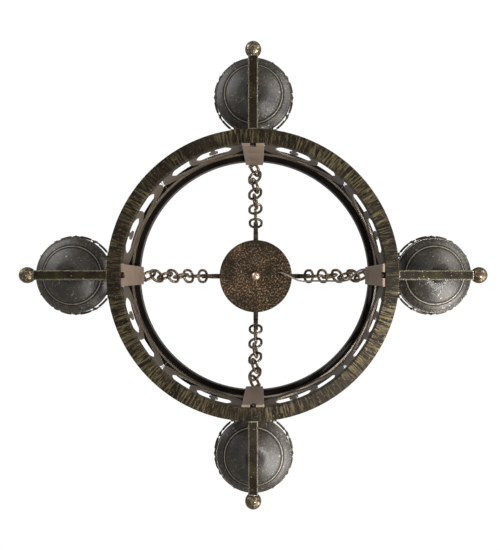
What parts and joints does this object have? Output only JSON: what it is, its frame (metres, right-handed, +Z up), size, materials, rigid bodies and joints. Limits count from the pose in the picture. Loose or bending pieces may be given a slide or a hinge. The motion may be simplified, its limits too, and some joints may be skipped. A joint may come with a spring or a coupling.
{
  "type": "ring chandelier",
  "caption": "Ring chandelier in aged iron: pierced scroll drum on chains, candle arms with drip pans and ball finials, round hub and hanging eye.",
  "frame": {"origin": "centre of the hanging eye's bore", "axes": "+Z up along the stem; +X along the eye's bore, towards the chain that carries the lamp cord"},
  "size_m": [0.6206, 0.6206, 0.3927],
  "materials": {
    "aged_iron": "dark brown-black iron finish, brushed, with gold speckles",
    "scroll_iron": "smooth taupe brown iron finish",
    "clip_iron": "smooth taupe brown iron finish",
    "cover_iron": "dark brown mottled iron finish",
    "pan_bronze": "dark bronze, spun, satin, with gold speckles",
    "chain_bronze": "antique bronze, worn on the bends",
    "aged_brass": "antique brass, dark in the hollows",
    "aged_copper": "antique copper",
    "collar_black": "near-black iron finish",
    "screw_steel": "zinc plated steel",
    "candle_ivory": "ivory candle sleeve with wax runs",
    "holder_black": "black phenolic",
    "cap_brass": "rolled brass screw cap",
    "lamp_glass": "clear glass",
    "lamp_flex": "brown vinyl flex"
  },
  "bodies": {
    "hanging_eye": {"hanging_eye": "aged_iron", "stem": "screw_steel", "stem_nut": "screw_steel"},
    "hub": {"hub_body": "aged_iron", "hub_spider": "aged_iron", "cover_spacer": "screw_steel", "hub_cover": "cover_iron", "hub_finial": "aged_copper"},
    "ring": {"lower_hoop": "aged_iron", "upper_hoop": "aged_iron", "pierced_band": "scroll_iron", "eye_bolts": "chain_bronze", "eye_bolt_nuts": "chain_bronze", "arm_screws": "screw_steel", "pan_collars": "collar_black", "candle_nipples": "screw_steel", "lampholders": "holder_black", "drum_lead": "lamp_flex", "wiring": "lamp_flex", "chain_clip_1": "clip_iron", "chain_clip_2": "clip_iron", "chain_clip_3": "clip_iron", "chain_clip_4": "clip_iron", "arm_1": "aged_iron", "arm_2": "aged_iron", "arm_3": "aged_iron", "arm_4": "aged_iron", "ball_finial_1": "aged_brass", "ball_finial_2": "aged_brass", "ball_finial_3": "aged_brass", "ball_finial_4": "aged_brass", "drip_pan_1": "pan_bronze", "drip_pan_2": "pan_bronze", "drip_pan_3": "pan_bronze", "drip_pan_4": "pan_bronze", "gallery_1": "pan_bronze", "gallery_2": "pan_bronze", "gallery_3": "pan_bronze", "gallery_4": "pan_bronze", "candle_cup_1": "pan_bronze", "candle_cup_2": "pan_bronze", "candle_cup_3": "pan_bronze", "candle_cup_4": "pan_bronze", "candle_sleeve_1": "candle_ivory", "candle_sleeve_2": "candle_ivory", "candle_sleeve_3": "candle_ivory", "candle_sleeve_4": "candle_ivory"},
    "chain_1": {"chain_1": "chain_bronze", "lamp_cord": "lamp_flex"},
    "chain_2": {"chain_2": "chain_bronze"},
    "chain_3": {"chain_3": "chain_bronze"},
    "chain_4": {"chain_4": "chain_bronze"},
    "bulb_1": {"bulb_base_1": "cap_brass", "bulb_glass_1": "lamp_glass"},
    "bulb_2": {"bulb_base_2": "cap_brass", "bulb_glass_2": "lamp_glass"},
    "bulb_3": {"bulb_base_3": "cap_brass", "bulb_glass_3": "lamp_glass"},
    "bulb_4": {"bulb_base_4": "cap_brass", "bulb_glass_4": "lamp_glass"}
  },
  "joints": [
    {"name": "hub_swivel", "type": "hinge", "parent": "hanging_eye", "child": "hub", "pos_m": [0, 0, -0.046], "axis": [0, 0, 1], "range_deg": [-180, 180]},
    {"name": "ring_twist", "type": "hinge", "parent": "hub", "child": "ring", "pos_m": [0, 0, -0.218], "axis": [0, 0, 1], "range_deg": [-4, 4]},
    {"name": "chain_sway_1", "type": "hinge", "parent": "hub", "child": "chain_1", "pos_m": [0.0866, 0, -0.066], "axis": [1, 0, 0], "range_deg": [-4.8, 4.8]},
    {"name": "chain_sway_2", "type": "hinge", "parent": "hub", "child": "chain_2", "pos_m": [0, 0.0866, -0.066], "axis": [0, 1, 0], "range_deg": [-4.8, 4.8]},
    {"name": "chain_sway_3", "type": "hinge", "parent": "hub", "child": "chain_3", "pos_m": [-0.0866, 0, -0.066], "axis": [-1, 0, 0], "range_deg": [-4.8, 4.8]},
    {"name": "chain_sway_4", "type": "hinge", "parent": "hub", "child": "chain_4", "pos_m": [0, -0.0866, -0.066], "axis": [0, -1, 0], "range_deg": [-4.8, 4.8]},
    {"name": "bulb_unscrew_1", "type": "slide", "parent": "ring", "child": "bulb_1", "axis": [0, 0, 1], "range_m": [0, 0.03]},
    {"name": "bulb_unscrew_2", "type": "slide", "parent": "ring", "child": "bulb_2", "axis": [0, 0, 1], "range_m": [0, 0.03]},
    {"name": "bulb_unscrew_3", "type": "slide", "parent": "ring", "child": "bulb_3", "axis": [0, 0, 1], "range_m": [0, 0.03]},
    {"name": "bulb_unscrew_4", "type": "slide", "parent": "ring", "child": "bulb_4", "axis": [0, 0, 1], "range_m": [0, 0.03]}
  ],
  "couplings": [
    {"joint": "chain_sway_1", "follows": "ring_twist", "ratio": 1.1592},
    {"joint": "chain_sway_2", "follows": "ring_twist", "ratio": 1.1592},
    {"joint": "chain_sway_3", "follows": "ring_twist", "ratio": 1.1592},
    {"joint": "chain_sway_4", "follows": "ring_twist", "ratio": 1.1592}
  ]
}
